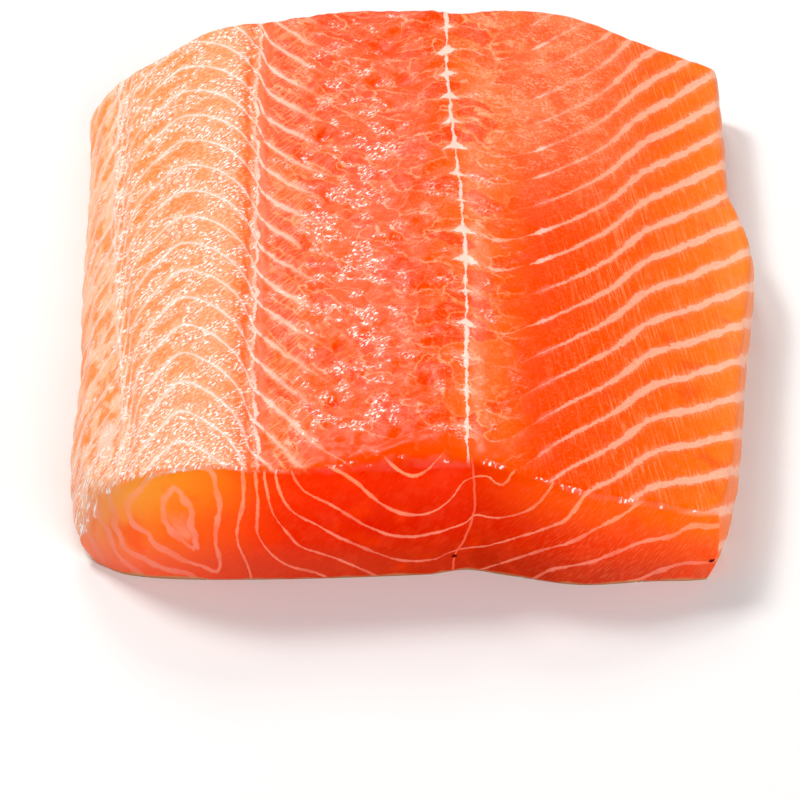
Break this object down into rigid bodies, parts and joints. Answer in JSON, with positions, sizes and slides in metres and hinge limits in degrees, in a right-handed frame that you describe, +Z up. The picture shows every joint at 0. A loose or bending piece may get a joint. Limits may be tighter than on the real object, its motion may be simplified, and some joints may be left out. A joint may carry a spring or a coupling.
{
  "type": "raw salmon fillet",
  "caption": "Thick centre cut of a raw salmon side, lying skin side down, square at both cut ends, thick along the back and thinner towards the trimmed belly edge.",
  "frame": {"origin": "on the resting face, under the middle of the bounding box", "axes": "+X from the back side of the fish to its belly side, +Y along the fish from the near cut to the far cut, +Z up out of the skin side"},
  "size_m": [0.1776, 0.2096, 0.0362],
  "materials": {
    "salmon_flesh": "wet raw fish flesh, orange-pink with pale connective tissue"
  },
  "bodies": {
    "root": {"fillet": "salmon_flesh"}
  },
  "joints": []
}
